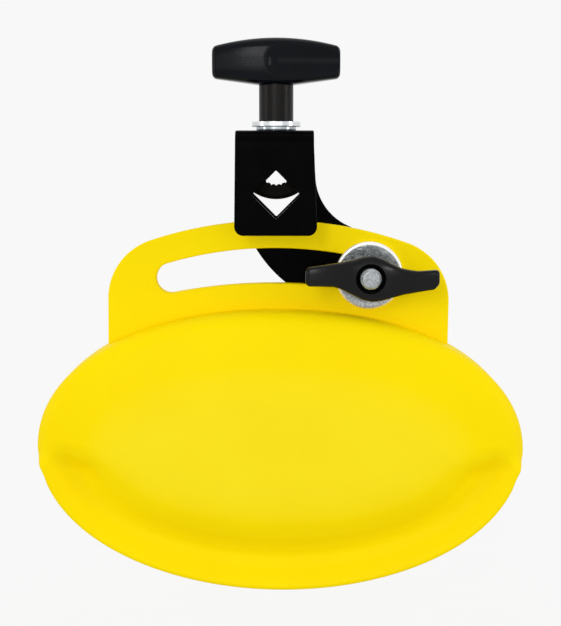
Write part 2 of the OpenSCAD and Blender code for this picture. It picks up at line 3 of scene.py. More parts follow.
import bmesh
import bpy
import numpy as np
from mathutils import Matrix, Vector
from mathutils.geometry import tessellate_polygon


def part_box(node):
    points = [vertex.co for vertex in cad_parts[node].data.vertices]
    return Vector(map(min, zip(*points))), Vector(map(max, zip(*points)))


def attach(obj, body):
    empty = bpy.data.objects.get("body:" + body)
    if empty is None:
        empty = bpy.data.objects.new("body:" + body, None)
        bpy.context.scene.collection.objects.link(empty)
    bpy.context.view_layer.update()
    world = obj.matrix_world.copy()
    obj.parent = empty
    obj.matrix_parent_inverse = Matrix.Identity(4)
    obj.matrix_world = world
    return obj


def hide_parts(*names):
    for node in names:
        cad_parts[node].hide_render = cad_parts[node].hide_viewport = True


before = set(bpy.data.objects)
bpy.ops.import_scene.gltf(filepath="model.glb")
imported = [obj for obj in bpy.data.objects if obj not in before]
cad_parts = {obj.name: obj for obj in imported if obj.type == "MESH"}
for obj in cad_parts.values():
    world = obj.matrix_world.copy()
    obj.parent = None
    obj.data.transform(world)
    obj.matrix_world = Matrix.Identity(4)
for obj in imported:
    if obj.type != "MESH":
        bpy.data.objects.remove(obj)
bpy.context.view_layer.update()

MM = 0.001
BOLT = (35.7, -41.7458)
SEAM_Y = 5.8
scene = bpy.context.scene
scene.view_settings.view_transform = "Standard"

# Camera: level with the clamp, half a metre in front, looking a little down on the block
camera_data = bpy.data.cameras.new("camera")
camera_data.sensor_fit = "HORIZONTAL"
camera_data.sensor_width = 36
camera_data.lens = 84.42
camera = bpy.data.objects.new("camera", camera_data)
scene.collection.objects.link(camera)
camera.location = Vector((3, -500, 3.9)) * MM
aim = Vector((1.6, 6, -56.1)) * MM
camera.rotation_euler = (aim - camera.location).to_track_quat("-Z", "Y").to_euler()
scene.camera = camera


# ---- Shader helpers ----

def linear(code):
    """A colour written as six hex digits, in linear light."""
    out = []
    for i in (0, 2, 4):
        c = int(code[i:i + 2], 16) / 255
        out.append(c / 12.92 if c <= 0.04045 else ((c + 0.055) / 1.055) ** 2.4)
    return (*out, 1)


class Shader:
    """A material that is built node by node."""

    def __init__(self, name):
        self.material = bpy.data.materials.new(name)
        self.material.use_nodes = True
        self.tree = self.material.node_tree
        self.tree.nodes.clear()
        self.out = self.tree.nodes.new("ShaderNodeOutputMaterial")
        self.main = self.tree.nodes.new("ShaderNodeBsdfPrincipled")
        self.link(self.main.outputs[0], self.out.inputs[0])
        self.place = self.tree.nodes.new("ShaderNodeTexCoord").outputs["Object"]

    def link(self, a, b):
        self.tree.links.new(a, b)

    def put(self, socket, value):
        if isinstance(value, bpy.types.NodeSocket):
            self.link(value, socket)
        else:
            socket.default_value = value

    def set(self, **values):
        for name, value in values.items():
            self.put(self.main.inputs[name.replace("_", " ")], value)

    def noise(self, scale, detail=2.0, rough=0.5, stretch=None):
        n = self.tree.nodes.new("ShaderNodeTexNoise")
        n.inputs["Scale"].default_value = scale
        n.inputs["Detail"].default_value = detail
        n.inputs["Roughness"].default_value = rough
        where = self.place
        if stretch:
            m = self.tree.nodes.new("ShaderNodeMapping")
            m.inputs["Scale"].default_value = stretch
            self.link(where, m.inputs["Vector"])
            where = m.outputs[0]
        self.link(where, n.inputs["Vector"])
        return n.outputs["Fac"]

    def ramp(self, fac, *stops):
        r = self.tree.nodes.new("ShaderNodeValToRGB")
        marks = r.color_ramp.elements
        while len(marks) < len(stops):
            marks.new(0.5)
        for mark, (at, colour) in zip(marks, stops):
            mark.position = at
            mark.color = colour
        self.link(fac, r.inputs[0])
        return r.outputs[0]

    def span(self, value, low, high, to_low, to_high):
        m = self.tree.nodes.new("ShaderNodeMapRange")
        for i, v in enumerate((value, low, high, to_low, to_high)):
            self.put(m.inputs[i], v)
        return m.outputs[0]

    def math(self, how, a, b=0.0):
        m = self.tree.nodes.new("ShaderNodeMath")
        m.operation = how
        for i, v in enumerate((a, b)):
            self.put(m.inputs[i], v)
        return m.outputs[0]

    def mix(self, fac, a, b, blend="MIX"):
        m = self.tree.nodes.new("ShaderNodeMix")
        m.data_type = "RGBA"
        m.blend_type = blend
        self.put(m.inputs[0], fac)
        self.put(m.inputs[6], a)
        self.put(m.inputs[7], b)
        return m.outputs[2]

    def hollow(self, distance, samples):
        a = self.tree.nodes.new("ShaderNodeAmbientOcclusion")
        a.samples = samples
        a.inputs["Distance"].default_value = distance
        return a.outputs["AO"]

    def relief(self, height, strength, distance, edge=0.0):
        b = self.tree.nodes.new("ShaderNodeBump")
        b.inputs["Strength"].default_value = strength
        b.inputs["Distance"].default_value = distance
        self.link(height, b.inputs["Height"])
        if edge:
            e = self.tree.nodes.new("ShaderNodeBevel")
            e.samples = 6
            e.inputs["Radius"].default_value = edge
            self.link(e.outputs[0], b.inputs["Normal"])
        self.link(b.outputs[0], self.main.inputs["Normal"])


# ---- Materials ----

def shell_plastic():
    s = Shader("shell_plastic")
    cloud = s.noise(26, 3, 0.55)
    where = s.tree.nodes.new("ShaderNodeSeparateXYZ")
    s.link(s.place, where.inputs[0])
    # Painted sheen: the face's plateau, more than about 18 to 20 mm out from the seam, is painted a paler
    # yellow.
    stand = s.math("ABSOLUTE", s.math("SUBTRACT", where.outputs["Y"], SEAM_Y * MM))
    plateau_painted_sheen = s.span(stand, 0.0178, 0.0197, 0.0, 1.0)
    tint = s.mix(plateau_painted_sheen, s.ramp(cloud, (0.3, linear("F8DB00")), (0.7, linear("FADF00"))),
                 s.ramp(cloud, (0.3, linear("F6DD1A")), (0.7, linear("F8E11D"))))
    # Painted shade: where ambient occlusion finds a hollow within 20 mm, the colour is painted a richer,
    # deeper yellow.
    deep = linear("FFE200")
    shade = s.span(s.hollow(0.02, 12), 0.45, 0.96, 1.0, 0.0)
    colour = s.mix(shade, tint, deep)
    grain = s.noise(2600, 2, 0.6)
    s.set(Base_Color=colour, Roughness=s.span(s.noise(900, 3), 0.3, 0.7, 0.40, 0.5))
    s.set(IOR=1.49, Specular_IOR_Level=0.04)
    s.relief(grain, 0.06, 0.0003)
    return s.material


def black_steel():
    s = Shader("black_steel")
    cloud = s.noise(140, 4, 0.6)
    s.set(Base_Color=s.ramp(cloud, (0.3, linear("020202")), (0.75, linear("050505"))))
    s.set(Roughness=s.span(s.noise(700, 3), 0.3, 0.7, 0.24, 0.32), IOR=1.5, Specular_IOR_Level=0.015)
    s.relief(s.noise(2400, 3, 0.6), 0.03, 0.0002)
    return s.material


def dark_steel():
    s = Shader("dark_steel")
    cloud = s.noise(220, 4, 0.6)
    s.set(Base_Color=s.ramp(cloud, (0.3, linear("050302")), (0.75, linear("0A0603"))))
    s.set(Roughness=s.span(s.noise(800, 3), 0.3, 0.7, 0.30, 0.42), IOR=1.6, Specular_IOR_Level=0.03)
    s.relief(s.noise(2000, 3, 0.6), 0.1, 0.0003, 0.0004)
    return s.material


def hub_steel():
    s = Shader("hub_steel")
    streak = s.noise(500, 3, 0.6, (6, 6, 0.6))
    s.set(Base_Color=s.ramp(streak, (0.3, linear("0A0807")), (0.75, linear("120F0D"))))
    s.set(Roughness=s.span(streak, 0.3, 0.7, 0.28, 0.36), IOR=1.6, Specular_IOR_Level=0.1)
    s.relief(streak, 0.08, 0.0002, 0.0004)
    return s.material


def zinc_steel():
    s = Shader("zinc_steel")
    mottle = s.noise(1100, 5, 0.7)
    across = s.tree.nodes.new("ShaderNodeSeparateXYZ")
    s.link(s.place, across.inputs[0])
    dx = s.math("SUBTRACT", across.outputs["X"], BOLT[0] * MM)
    dz = s.math("SUBTRACT", across.outputs["Z"], BOLT[1] * MM)
    out = s.math("SQRT", s.math("ADD", s.math("MULTIPLY", dx, dx), s.math("MULTIPLY", dz, dz)))
    scuffs = s.noise(420, 4, 0.7, (1.0, 1.0, 3.2))
    # Painted light: the washer's lower right is painted bright like a reflection. Its upper left is dark, as
    # painted shade over real scuffs.
    painted_lit_side = s.span(s.math("SUBTRACT", dx, dz), -0.014, 0.004, 0.0, 1.0)
    dull = s.ramp(scuffs, (0.34, linear("4E5457")), (0.5, linear("868C8F")), (0.64, linear("D0D4D6")))
    bright_mottle = s.ramp(mottle, (0.3, linear("84888A")), (0.5, linear("9EA2A4")), (0.7, linear("C4C6C6")))
    face = s.mix(painted_lit_side, dull, bright_mottle)
    # Painted highlight: a thin ring at the wide washer's rolled rim is painted near-white.
    rim = s.span(out, 0.0119, 0.0123, 0.0, 1.0)
    s.set(Base_Color=s.mix(rim, face, linear("F4F5F5")), Metallic=0.5)
    s.set(Roughness=s.span(mottle, 0.3, 0.7, 0.2, 0.34))
    s.relief(s.noise(1700, 4, 0.7), 0.14, 0.0002)
    return s.material


def bright_zinc(name, node, *stops):
    """Zinc with painted shade where the rings meet: stops are (share of the node's height, colour)."""
    s = Shader(name)
    sheen = s.noise(300, 3, 0.6)
    low, high = (corner[2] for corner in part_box(node))
    up = s.tree.nodes.new("ShaderNodeSeparateXYZ")
    s.link(s.place, up.inputs[0])
    # Painted shade: the stops darken the ring along its height, where it meets the next ring.
    painted_ring_shade = s.ramp(s.span(up.outputs["Z"], low, high, 0.0, 1.0), *((at, linear(c)) for at, c in stops))
    zinc_tone = s.ramp(sheen, (0.3, linear("D4D8DB")), (0.7, linear("EEF0F1")))
    s.set(Base_Color=s.mix(1.0, zinc_tone, painted_ring_shade, "MULTIPLY"), Metallic=0.6)
    s.set(Roughness=s.span(sheen, 0.3, 0.7, 0.16, 0.24))
    s.relief(s.noise(900, 2), 0.03, 0.0001)
    return s.material


def black_plastic():
    s = Shader("black_plastic")
    cloud = s.noise(120, 3, 0.5)
    s.set(Base_Color=s.ramp(cloud, (0.3, linear("04060A")), (0.75, linear("090C12"))))
    s.set(Roughness=s.span(s.noise(600, 3), 0.3, 0.7, 0.14, 0.18), IOR=1.5, Specular_IOR_Level=0.1)
    s.relief(s.noise(1800, 2, 0.6), 0.05, 0.0003)
    return s.material


def nut_paint():
    s = Shader("nut_paint")
    cloud = s.noise(260, 4, 0.6)
    s.set(Base_Color=s.ramp(cloud, (0.3, linear("040405")), (0.75, linear("08080A"))))
    s.set(Roughness=s.span(s.noise(900, 3), 0.3, 0.7, 0.16, 0.22), IOR=1.52, Specular_IOR_Level=0.18)
    s.relief(s.noise(1500, 3, 0.6), 0.05, 0.0002)
    return s.material


def sleeve_plastic():
    s = Shader("sleeve_plastic")
    cloud = s.noise(300, 3, 0.6)
    s.set(Base_Color=s.ramp(cloud, (0.3, linear("1E1E1F")), (0.75, linear("29292A"))))
    s.set(Roughness=s.span(cloud, 0.3, 0.7, 0.45, 0.6))
    s.relief(s.noise(2200, 2), 0.08, 0.0003, 0.0003)
    return s.material


SHELL = shell_plastic()
BLACK = black_steel()
DARK = dark_steel()
HUB = hub_steel()
ZINC = zinc_steel()
# The stops paint shade: dark at the flat ring's foot and at the split ring's foot and top, where the rings
# touch.
FLAT_RING = bright_zinc("flat_ring_zinc", "top_washer", (0.0, "30383C"), (0.22, "FFFFFF"), (1.0, "FFFFFF"))
SPLIT_RING = bright_zinc("split_ring_zinc", "split_washer", (0.2, "0C1012"), (0.45, "C8D0D4"),
                         (0.8, "E8ECEE"), (1.0, "30383C"))
PLASTIC = black_plastic()
PAINT = nut_paint()
SLEEVE = sleeve_plastic()


def dress(node, material):
    """Give a CAD node its material."""
    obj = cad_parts[node]
    if not obj.material_slots:
        obj.data.materials.append(material)
    for slot in obj.material_slots:
        slot.link = "OBJECT"
        slot.material = material


for node, material in (("eye_bolt", DARK), ("split_washer", SPLIT_RING), ("top_washer", FLAT_RING),
                       ("handle_hub", HUB), ("slot_sleeve", SLEEVE)):
    dress(node, material)


# ---- Mesh helpers ----

def ease(t):
    c = min(1.0, max(0.0, t))
    return c * c * (3 - 2 * c)


def mix(a, b, t):
    return a + (b - a) * t


def signed_power(v, p):
    return math.copysign(abs(v) ** p, v)


def new_object(name, verts, faces, material, angle=35):
    """A smooth-shaded mesh, in millimetres, with sharp edges over the given angle."""
    mesh = bpy.data.meshes.new(name)
    mesh.from_pydata([tuple(c * MM for c in v) for v in verts], [], faces)
    mesh.validate()
    mesh.shade_smooth()
    mesh.set_sharp_from_angle(angle=math.radians(angle))
    mesh.materials.append(material)
    obj = bpy.data.objects.new(name, mesh)
    scene.collection.objects.link(obj)
    return obj


def skin(rings, steps, close_ends=True, turned=False):
    """Faces over rings of points, with an end face at the first and the last ring."""
    faces = []
    for k in range(rings - 1):
        for i in range(steps):
            j = (i + 1) % steps
            a, b = k * steps, (k + 1) * steps
            faces.append((a + i, b + i, b + j, a + j))
    if close_ends:
        faces.append(tuple(range(steps)))
        faces.append(tuple((rings - 1) * steps + i for i in reversed(range(steps))))
    return [tuple(reversed(f)) for f in faces] if turned else faces


# ---- Handle plate and shells ----

TILT = math.radians(0.6)


def hung(p):
    """Turn a point of the block about the bolt, by the tilt at which it hangs."""
    dx, dz = p[0] - BOLT[0], p[2] - BOLT[1]
    c, s = math.cos(TILT), math.sin(TILT)
    return (BOLT[0] + dx * c + dz * s, p[1], BOLT[1] - dx * s + dz * c)


CLOSED = [(0.999, 1), (0.93, 1), (0.86, 1), (0.68, 0.985), (0.53, 0.955), (0.4, 0.915), (0.3, 0.87),
          (0.225, 0.83), (0.155, 0.79), (0.1, 0.745), (0.06, 0.695), (0.028, 0.62),
          (0.007, 0.52), (0, 0.4), (0, 0)]
FRONT_LIP = [(0.999, 1), (0.93, 1), (0.86, 1), (0.68, 0.98), (0.53, 0.925), (0.4, 0.78), (0.3, 0.6),
             (0.225, 0.52), (0.155, 0.58), (0.1, 0.68), (0.06, 0.75), (0.028, 0.785),
             (0.007, 0.765), (0, 0.71), (0.006, 0.62)]
BACK_LIP = [(0.999, 1), (0.93, 1), (0.86, 1), (0.68, 0.98), (0.53, 0.925), (0.4, 0.78), (0.3, 0.6),
            (0.225, 0.51), (0.155, 0.53), (0.1, 0.59), (0.06, 0.63), (0.028, 0.65),
            (0.007, 0.635), (0, 0.58), (0.006, 0.49)]
OVAL_A, LIP_A, OVAL_B = 93.46, 91.8, 53.68
OVAL_POWER, LIP_POWER = 2.13, 2.0
OVAL_DROP, BLOCK_X, WALL = 108.5, 2.2, 3.4
FRONT_DEPTH, BACK_DEPTH = 20.0, 21.0
PLATE_X, PLATE_EDGE_R = 0.9, 0.6
RIM_ROW = 12
LAST_ROW = len(CLOSED) - 1
PLATE_FRONT, PLATE_BACK = 5.9, 10.9


def below(t):
    return math.degrees(math.asin(-math.sin(math.radians(t))))


def lip_start(inset):
    """Angle below level at which the lip's end starts, higher further in from the rim."""
    return 3.0 - 8.0 * math.sqrt(min(1, max(0, inset) / 0.2))


def lip_mix(t, inset):
    lean = min(1, max(0, inset) / 0.2)
    return ease((below(t) - lip_start(inset)) / (mix(4.5, 17, lean) + 60 * max(0, inset - 0.225)))


def mouth_mix(t):
    return ease((below(t) - 3) / 11)


def crease_dip(t, inset):
    """Hollow along the crease, where the rim dives under the end of the lip."""
    off = below(t) - lip_start(inset) - 1.5
    near = ease(inset / 0.03) * (1 - ease((inset - 0.06) / 0.14))
    return near * math.exp(-(off / (7.0 if off < 0 else 2.4)) ** 2)


def oval_point(t, inset):
    m = ease((below(t) + 1) / 13)
    power = 2 / mix(OVAL_POWER, LIP_POWER, m)
    c, s = math.cos(math.radians(t)), math.sin(math.radians(t))
    return ((mix(OVAL_A, LIP_A, m) - inset) * signed_power(c, power),
            (OVAL_B - inset) * signed_power(s, power))


def smooth_rows(table, steps):
    """Finer rows through the table's rows, with no overshoot between them."""
    pts = np.array(table, float)
    d = np.diff(pts, axis=0)
    slope = np.zeros_like(pts)
    for k in range(1, len(pts) - 1):
        for c in (0, 1):
            a, b = d[k - 1, c], d[k, c]
            slope[k, c] = 2 * a * b / (a + b) if a * b > 0 else 0
    slope[0], slope[-1] = d[0], d[-1]
    rows = []
    for k in range(len(d)):
        for j in range(steps[k]):
            u = j / steps[k]
            u2, u3 = u * u, u * u * u
            rows.append((k + u, *((2 * u3 - 3 * u2 + 1) * pts[k] + (u3 - 2 * u2 + u) * slope[k]
                                  + (3 * u2 - 2 * u3) * pts[k + 1] + (u3 - u2) * slope[k + 1])))
    rows.append((len(d), *pts[-1]))
    return rows


OUTER_STEPS = [1, 2, 4, 4, 5, 5, 5, 5, 5, 5, 5, 5, 4, 4]
INNER_STEPS = [1, 1, 1, 1, 1, 2, 2, 2, 2, 2, 2, 2, 2, 2]
ANGLES = ([i * 0.4 for i in range(20)] + [8 + i * 1.64 for i in range(100)]
          + [172 + i * 0.4 for i in range(60)] + [196 + i * 1.48 for i in range(100)]
          + [344 + i * 0.4 for i in range(40)])


def shell_mix(t, row, inset):
    low = lip_mix(t, inset)
    return low if row <= RIM_ROW else mix(low, mouth_mix(t), min(1, row - RIM_ROW))


def shell_shares(t, closed, lip):
    m = shell_mix(t, closed[0], closed[1])
    return mix(closed[1], lip[1], m), mix(closed[2], lip[2], m) - 0.02 * crease_dip(t, closed[1])


def shell_points(lip_table, depth, side):
    """Rings of a shell from the middle of the outer face, round the rim, to the inner face."""
    outer = list(zip(smooth_rows(CLOSED, OUTER_STEPS), smooth_rows(lip_table, OUTER_STEPS)))
    inner = list(zip(smooth_rows(CLOSED, INNER_STEPS), smooth_rows(lip_table, INNER_STEPS)))
    rings = []

    def out_at(t, pair):
        inset, high = shell_shares(t, *pair)
        p = oval_point(t, inset * OVAL_B)
        return Vector((p[0], p[1], high * depth))

    def in_at(t, pair):
        inset, high = shell_shares(t, *pair)
        p = oval_point(t, WALL + inset * (OVAL_B - WALL))
        drop = WALL if pair[0][0] < LAST_ROW else high * depth * 0.14
        return Vector((p[0], p[1], high * depth - drop))

    for pair in outer[:-1]:
        rings.append([out_at(t, pair) for t in ANGLES])
    corner = [out_at(t, outer[-1]) for t in ANGLES]
    rim_in = [in_at(t, inner[-1]) for t in ANGLES]
    up = [(a - c).normalized() for a, c in zip(rings[-1], corner)]
    across = [(b - c).normalized() for b, c in zip(rim_in, corner)]
    for a, b in ((0.5, 0.0), (0.146, 0.146), (0.0, 0.5)):
        rings.append([c + u * a + v * b for c, u, v in zip(corner, up, across)])
    rings.append(rim_in)
    for pair in reversed(inner[:-1]):
        rings.append([in_at(t, pair) for t in ANGLES])
    verts = [hung((BLOCK_X + p.x, SEAM_Y - side * p.z, -OVAL_DROP + p.y)) for ring in rings for p in ring]
    return verts, skin(len(rings), len(ANGLES), True, side > 0)


def arc(centre, radius, start, end, steps):
    """Points along an arc from one angle to another, both ends included."""
    return [(centre[0] + radius * math.cos(math.radians(mix(start, end, i / steps))),
             centre[1] + radius * math.sin(math.radians(mix(start, end, i / steps))))
            for i in range(steps + 1)]


def plate_outline():
    """The plate's edge, from its right side over the top to the left, and back along the wall."""
    half, top_r, corner_r, top = 65.9, 154.0, 23.6, -20.7
    cx = half - corner_r
    cz0 = top - top_r
    cz = cz0 + math.sqrt((top_r - corner_r) ** 2 - cx ** 2)
    lean = math.degrees(math.atan2(cz - cz0, cx))
    edge = arc((cx, cz), corner_r, 0, lean, 24)
    edge += arc((0, cz0), top_r, lean, 180 - lean, 72)[1:]
    edge += arc((-cx, cz), corner_r, 180 - lean, 180, 24)[1:]
    edge = [(x + PLATE_X, z) for x, z in edge]
    left, right = PLATE_X - half, PLATE_X + half
    ring = [(BLOCK_X + p[0], -OVAL_DROP + p[1]) for p in
            (oval_point(t / 4, WALL / 2) for t in range(0, 721))]
    inside = sorted((p for p in ring if left < p[0] < right and p[1] > -OVAL_DROP), key=lambda p: p[0])
    return edge + [(left, inside[0][1])] + inside + [(right, inside[-1][1])]


def slot_outline():
    """The slot between its two arcs and its two round ends."""
    top_r, foot_r, end_r, top_drop, foot_drop = 148.0, 200.0, 5.82, 31.3, 44.9
    tz, fz = -top_drop - top_r, -foot_drop - foot_r
    et, ef = top_r - end_r, foot_r + end_r
    ez = (ef ** 2 - fz ** 2 - et ** 2 + tz ** 2) / 2 / (tz - fz)
    ex = math.sqrt(et ** 2 - (ez - tz) ** 2)
    ta = math.degrees(math.atan2(ez - tz, ex))
    fa = math.degrees(math.atan2(ez - fz, ex))
    half = arc((0, tz), top_r, 90, ta, 40) + arc((ex, ez), end_r, ta, fa - 180, 28)[1:]
    half += arc((0, fz), foot_r, fa, 90, 40)[1:]
    whole = half + [(-x, z) for x, z in reversed(half[1:-1])]
    return [(x + PLATE_X, z) for x, z in whole]


def drawn_in(loop, d):
    """The loop moved d to its left, by its corners' bisectors."""
    n = len(loop)
    out = []
    for i in range(n):
        (ax, ay), (bx, by), (cx, cy) = loop[i - 1], loop[i], loop[(i + 1) % n]
        u, v = Vector((bx - ax, by - ay)), Vector((cx - bx, cy - by))
        if u.length < 1e-9 or v.length < 1e-9:
            u = v = (u + v)
        u.normalize()
        v.normalize()
        nu, nv = Vector((-u.y, u.x)), Vector((-v.y, v.x))
        m = nu + nv
        m = m * (1 / max(0.5, m.dot(nu)))
        out.append((bx + m.x * d, by + m.y * d))
    return out


def signed_area(loop):
    return sum(a[0] * b[1] - b[0] * a[1] for a, b in zip(loop, loop[1:] + loop[:1])) / 2


def slab(outline, holes, low, high, edge, rows=4):
    """A flat slab with rounded edges, its outline in x and z and its thickness in y."""
    loops = []
    for k, loop in enumerate([outline] + holes):
        if (signed_area(loop) > 0) != (k == 0):
            loop = list(reversed(loop))
        loops.append(loop)
    verts, faces, caps = [], [], {0: [], 1: []}
    for loop in loops:
        n = len(loop)
        profile = []
        for i in range(rows + 1):
            a = math.radians(90 * i / rows)
            profile.append((edge * (1 - math.sin(a)), low + edge * (1 - math.cos(a))))
        profile += [(d, low + high - y) for d, y in reversed(profile)]
        start = len(verts)
        for d, y in profile:
            verts += [(x, y, z) for x, z in (drawn_in(loop, d) if d > 1e-6 else loop)]
        for k in range(len(profile) - 1):
            for i in range(n):
                j = (i + 1) % n
                a, b = start + k * n, start + (k + 1) * n
                faces.append((a + i, a + j, b + j, b + i))
        caps[0].append([start + i for i in range(n)])
        caps[1].append([start + (len(profile) - 1) * n + i for i in range(n)])
    for end in (0, 1):
        flat = [i for ring in caps[end] for i in ring]
        tris = tessellate_polygon([[Vector((verts[i][0], verts[i][2], 0)) for i in ring]
                                   for ring in caps[end]])
        for tri in tris:
            a, b, c = (flat[i] for i in tri)
            area = ((verts[b][0] - verts[a][0]) * (verts[c][2] - verts[a][2])
                    - (verts[c][0] - verts[a][0]) * (verts[b][2] - verts[a][2]))
            faces.append((a, b, c) if (area > 0) == (end == 0) else (a, c, b))
    return verts, faces


def weighted(obj):
    """Keep the flat faces flat in shading, next to their rounded edges."""
    mod = obj.modifiers.new("normals", "WEIGHTED_NORMAL")
    mod.keep_sharp = True
    return obj


front_verts, front_faces = shell_points(FRONT_LIP, FRONT_DEPTH, 1)
front_shell = new_object("front_shell_skin", front_verts, front_faces, SHELL)
back_verts, back_faces = shell_points(BACK_LIP, BACK_DEPTH, -1)
back_shell = new_object("back_shell_skin", back_verts, back_faces, SHELL)
plate_verts, plate_faces = slab(plate_outline(), [slot_outline()], PLATE_FRONT, PLATE_BACK, PLATE_EDGE_R)
plate = weighted(new_object("handle_plate", [hung(v) for v in plate_verts], plate_faces, SHELL))
for obj in (front_shell, back_shell, plate):
    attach(obj, "block")
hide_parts("front_shell")
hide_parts("back_shell")
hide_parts("back_shell")


# ---- Clamp: a flat blank with its holes, bent twice into a U ----

BEND_R, CLAMP_FLAT, CLAMP_CROWN_Z, CLAMP_HALF_GAP = 4, 17.0, 8.2, 8.5
CLAMP_BEND = BEND_R * math.pi / 2
BEND_STEPS = 12
REAR_V = 2 * CLAMP_BEND + CLAMP_FLAT


def clamp_blank():
    """The blank's edge from the front foot over the crown to the arm's round end, as x and run."""
    left, foot, r = -15.1, -33.3, 3.4
    bolt, inner, inner_r = (BOLT[0], BOLT[1]), (36.7, -2.9), 21.6
    outer_x, outer_r, end_r = 34.9, 50.0, 14.0
    outer = (outer_x, bolt[1] + math.sqrt((outer_r - end_r) ** 2 - (bolt[0] - outer_x) ** 2))

    def down(points):
        return [(x, REAR_V + CLAMP_CROWN_Z - z) for x, z in points]

    gap = math.hypot(bolt[0] - inner[0], bolt[1] - inner[1])
    lean = math.degrees(math.acos((inner_r + end_r) / gap))
    way = math.degrees(math.atan2(bolt[1] - inner[1], bolt[0] - inner[0]))
    leave = math.degrees(math.atan2(bolt[1] - outer[1], bolt[0] - outer[0]))
    edge = arc((left - 0.4 + r, foot + r), r, 180, 270, 10) + arc((15.2 - r, foot + r), r, 270, 360, 10)
    edge += [(14.0, 0.0), (14.0, REAR_V)]
    edge += down(arc(inner, inner_r, -180, way - lean, 24))
    edge += down(arc(bolt, end_r, way + 180 - lean, leave, 40))
    edge += down(arc(outer, outer_r, leave, -180, 48)[1:])
    return edge + [(left, REAR_V), (left, 0.0)]


def diamond(v, side=12.75, r=0.35):
    reach, loop = side / math.sqrt(2) - r * math.sqrt(2), []
    for a in (0, 90, 180, 270):
        c = (reach * math.cos(math.radians(a)), v + reach * math.sin(math.radians(a)))
        loop += arc(c, r, a - 45, a + 45, 4)
    return loop


def bent(x, y, v):
    """A point of the blank, its outer face at low y, carried round both bends."""
    t = BEND_R - y
    if v < 0:
        return (x, -CLAMP_HALF_GAP - t, CLAMP_CROWN_Z + v)
    if v < CLAMP_BEND:
        a = v / BEND_R
        return (x, -CLAMP_HALF_GAP - t * math.cos(a), CLAMP_CROWN_Z + t * math.sin(a))
    if v < CLAMP_BEND + CLAMP_FLAT:
        return (x, v - CLAMP_BEND - CLAMP_HALF_GAP, CLAMP_CROWN_Z + t)
    if v < REAR_V:
        a = (v - CLAMP_BEND - CLAMP_FLAT) / BEND_R
        return (x, CLAMP_HALF_GAP + t * math.sin(a), CLAMP_CROWN_Z + t * math.cos(a))
    return (x, CLAMP_HALF_GAP + t, CLAMP_CROWN_Z - (v - REAR_V))


def clamp_skin():
    h = 4.35
    crown = arc((0, CLAMP_BEND + CLAMP_FLAT / 2), 4.4, 0, 360, 48)[:-1]
    bolt_v = REAR_V + CLAMP_CROWN_Z - BOLT[1]
    neck = [(BOLT[0] + a * h, bolt_v + b * h) for a, b in ((-1, -1), (1, -1), (1, 1), (-1, 1))]
    holes = [diamond(-18.2), diamond(REAR_V + CLAMP_CROWN_Z + 10), crown, neck]
    verts, faces = slab(clamp_blank(), holes, -1.5, 1.5, 0.5)
    mesh = bmesh.new()
    made = [mesh.verts.new(v) for v in verts]
    for face in faces:
        if len(set(face)) == len(face):
            mesh.faces.new([made[i] for i in face])
    for start in (0.0, CLAMP_BEND + CLAMP_FLAT):
        for k in range(BEND_STEPS + 1):
            at = start + CLAMP_BEND * k / BEND_STEPS
            bmesh.ops.bisect_plane(mesh, geom=mesh.verts[:] + mesh.edges[:] + mesh.faces[:],
                                   plane_co=(0, 0, at), plane_no=(0, 0, 1), dist=1e-5)
    mesh.verts.index_update()
    out = ([bent(*v.co) for v in mesh.verts], [tuple(v.index for v in f.verts) for f in mesh.faces])
    mesh.free()
    return out


clamp_verts, clamp_faces = clamp_skin()
clamp = weighted(new_object("clamp_skin", clamp_verts, clamp_faces, BLACK, 50))
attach(clamp, "clamp")
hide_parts("clamp_bracket")


# ---- Tee handle grip ----

GRIP_Z, GRIP_HALF, GRIP_H = 30.65, 23.9, 17.35
GRIP_T, GRIP_END_T, GRIP_END_R = 16, 9.6, 1.6
GRIP_TOP_FALL, GRIP_FOOT_RISE, HUB_R = 3.2, 2.4, 6.45


def grip_skin():
    """A loft of soft-cornered sections, with a finger trough pressed into each side."""
    rings, sides, power = 150, 160, 4.2
    r, deep, reach = 8.5, 2.8, 3.0
    lean = math.atan((GRIP_T - GRIP_END_T) / 2 / GRIP_HALF) / 2
    start_x, start_y, mid_z = r - reach - deep, -GRIP_T / 2 - r + deep, GRIP_Z + GRIP_H / 2
    along = (math.cos(lean), math.sin(lean))

    def pressed(x, y, z):
        s = 1 if y < 0 else -1
        px, py = x * s, y * s
        if px < start_x - r:
            return y
        best = None
        run = (px - start_x) * along[0] + (py - start_y) * along[1]
        h = abs(z - mid_z)
        if h < r:
            if run > 0:
                off = math.sqrt(r * r - h * h)
                axis_y = start_y + (px - start_x) * along[1] / along[0]
                best = axis_y + off / along[0]
            else:
                rest = r * r - h * h - (px - start_x) ** 2
                if rest > 0:
                    best = start_y + math.sqrt(rest)
        if best is None or best > 0:
            return y
        k = 0.35
        d = (best - py) / k
        soft = best + k * math.log1p(math.exp(-d)) if d > 0 else py + k * math.log1p(math.exp(d))
        return s * (soft if d > -6 else py)

    verts = []
    for i in range(rings):
        x = -GRIP_HALF * math.cos(math.pi * i / (rings - 1))
        e = max(0, abs(x) - (GRIP_HALF - GRIP_END_R)) / GRIP_END_R
        draw = GRIP_END_R * (1 - math.sqrt(1 - min(1, e * e)))
        top = GRIP_Z + GRIP_H - GRIP_TOP_FALL * (abs(x) / GRIP_HALF) ** 2 - draw
        foot = GRIP_Z + GRIP_FOOT_RISE * max(0, abs(x) - HUB_R) / (GRIP_HALF - HUB_R) + draw
        half = mix(GRIP_T, GRIP_END_T, (abs(x) / GRIP_HALF) ** 1.6) / 2 - draw
        mid, high = (top + foot) / 2, (top - foot) / 2
        for k in range(sides):
            a = (k + 0.5) * 2 * math.pi / sides
            y = half * signed_power(math.cos(a), 2 / power)
            z = mid + high * signed_power(math.sin(a), 2 / power)
            verts.append((x, pressed(x, y, z), z))
    return verts, skin(rings, sides)


